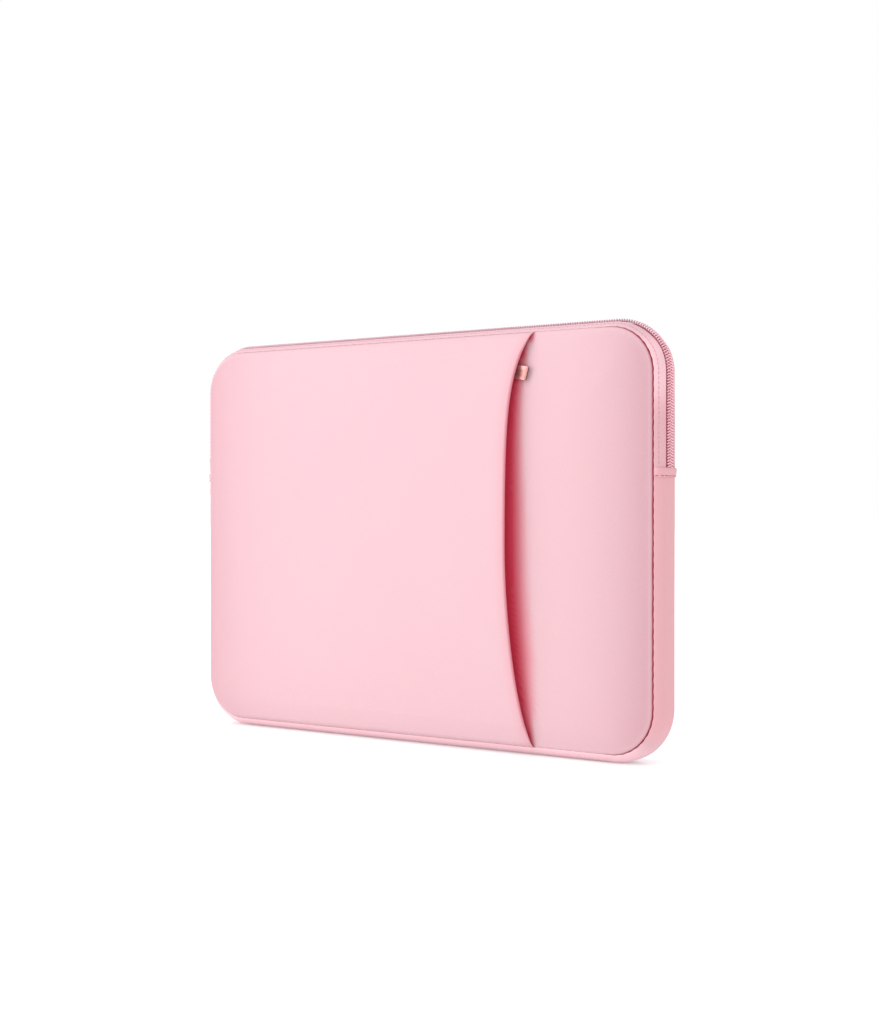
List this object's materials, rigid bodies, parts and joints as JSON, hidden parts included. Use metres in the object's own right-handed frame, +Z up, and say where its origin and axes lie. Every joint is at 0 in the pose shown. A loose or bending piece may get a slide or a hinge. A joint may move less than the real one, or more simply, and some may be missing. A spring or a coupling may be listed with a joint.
{
  "type": "laptop sleeve",
  "caption": "Padded zip-up laptop sleeve standing on its long edge, with a side-opening front pocket and a small blank metal tag.",
  "frame": {"origin": "middle of the flat underside that the sleeve stands on, below the middle of its depth between the two seams", "axes": "+X to the right as seen from the front, along the long edge; -Y out of the front, which has the pocket; +Z up"},
  "size_m": [0.3665, 0.0419, 0.265],
  "materials": {
    "outer_fabric": "smooth fine-knit face of laminated neoprene, pale pink",
    "lining_fabric": "brushed knit lining, deeper rose",
    "foam": "closed-cell foam padding, hidden between the fabrics",
    "zip_tape": "woven polyester tape",
    "zip_coil": "moulded nylon coil, semi-gloss",
    "binding_tape": "ribbed binding tape",
    "plated_metal": "rose-gold plated zinc, satin",
    "tag_metal": "rose-gold plated brass, polished and blank"
  },
  "bodies": {
    "root": {"back_shell": "outer_fabric", "front_shell_lower": "outer_fabric", "bottom_gusset": "outer_fabric", "back_zip_gusset": "outer_fabric", "front_zip_gusset_lower_left": "outer_fabric", "front_zip_gusset_lower_right": "outer_fabric", "zip_end_tab_left": "outer_fabric", "zip_end_tab_right": "outer_fabric", "pocket_panel_lower": "outer_fabric", "back_lining": "lining_fabric", "front_lining_lower": "lining_fabric", "bottom_gusset_lining": "lining_fabric", "pocket_lining_lower": "lining_fabric", "back_padding": "foam", "front_padding_lower": "foam", "bottom_gusset_padding": "foam", "back_zip_tape": "zip_tape", "front_zip_tape_lower_left": "zip_tape", "front_zip_tape_lower_right": "zip_tape", "back_zip_coil": "zip_coil", "front_zip_coil_lower_left": "zip_coil", "front_zip_coil_lower_right": "zip_coil", "back_seam_binding": "binding_tape", "front_seam_binding_lower": "binding_tape", "zip_stop_left": "plated_metal", "zip_stop_right": "plated_metal"},
    "flap": {"front_shell_upper": "outer_fabric", "front_padding_upper": "foam", "front_lining_upper": "lining_fabric", "pocket_panel_upper": "outer_fabric", "pocket_lining_upper": "lining_fabric", "front_zip_gusset_upper": "outer_fabric", "front_zip_tape_upper": "zip_tape", "front_zip_coil_upper": "zip_coil", "front_seam_binding_upper": "binding_tape", "metal_tag": "tag_metal", "tag_washer": "plated_metal"},
    "slider": {"slider_body": "plated_metal"},
    "pull": {"pull_tab": "plated_metal"}
  },
  "joints": [
    {"name": "flap_fold", "type": "hinge", "parent": "root", "child": "flap", "pos_m": [0, -0.02, 0.196], "axis": [1, 0, 0], "range_deg": [0, 75]},
    {"name": "slider_run", "type": "slide", "parent": "root", "child": "slider", "axis": [0, 0, 1], "range_m": [0, 0.035]},
    {"name": "pull_swing", "type": "hinge", "parent": "slider", "child": "pull", "pos_m": [-0.1831, 0, 0.186], "axis": [0, 1, 0], "range_deg": [0, 150]}
  ]
}
